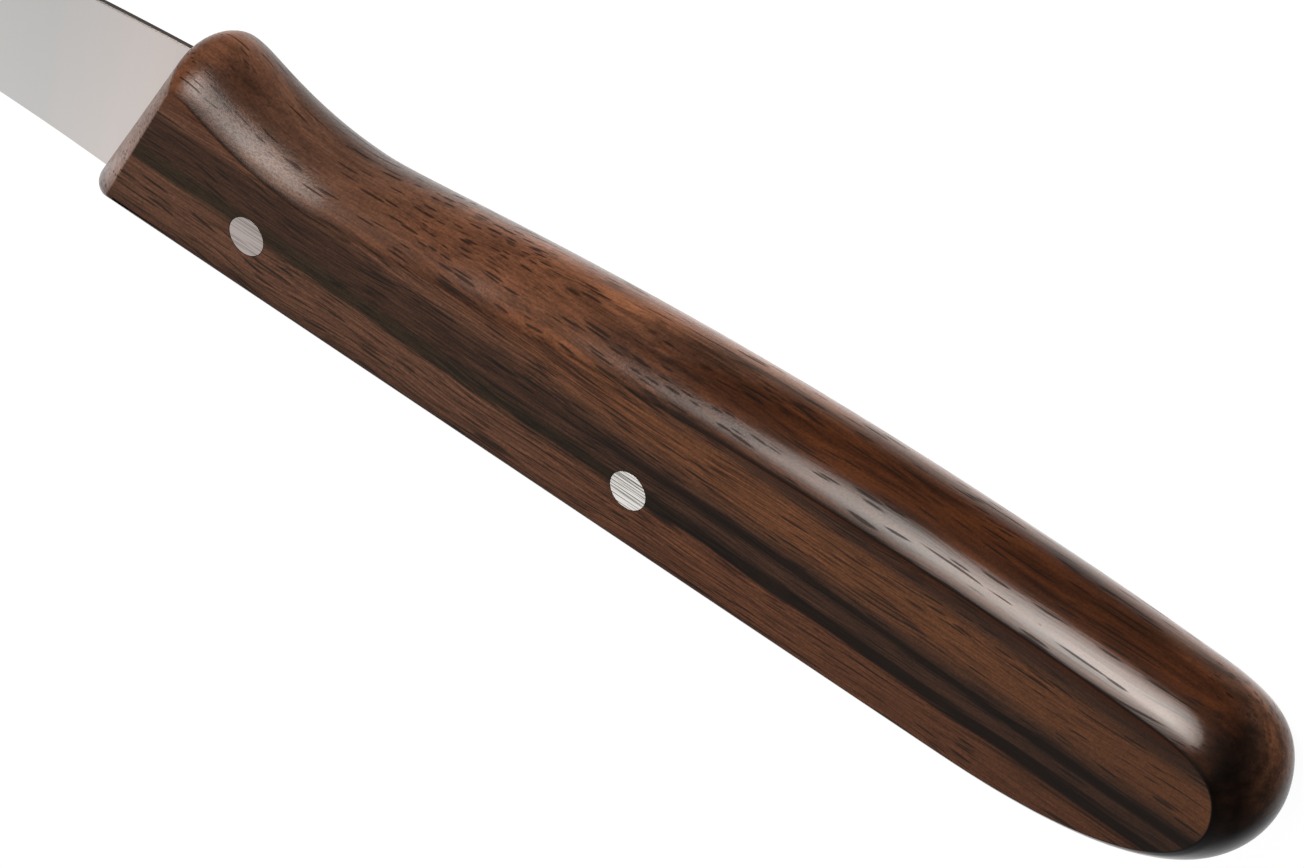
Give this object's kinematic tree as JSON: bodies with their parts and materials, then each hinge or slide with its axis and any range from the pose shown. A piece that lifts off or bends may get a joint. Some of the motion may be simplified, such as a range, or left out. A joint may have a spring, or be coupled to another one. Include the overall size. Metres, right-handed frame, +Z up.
{
  "type": "tourne knife",
  "caption": "Tourne knife with a short hooked steel blade, its half tang pinned in the slot of a rosewood handle that has flat sides and a crowned edge, for turning vegetables.",
  "frame": {"origin": "under the middle of the bounding box, on the surface that the knife lies on", "axes": "+X from the blade's tip to the butt, +Y from the cutting edge to the spine, +Z up, across the knife's thickness"},
  "size_m": [0.169, 0.0244, 0.0105],
  "materials": {
    "rosewood": "lacquered crown, satin flats",
    "satin_steel": "satin ground",
    "rivet_metal": "ground flush"
  },
  "bodies": {
    "root": {"handle": "rosewood", "blade": "satin_steel", "front_rivet": "rivet_metal", "rear_rivet": "rivet_metal"}
  },
  "joints": []
}
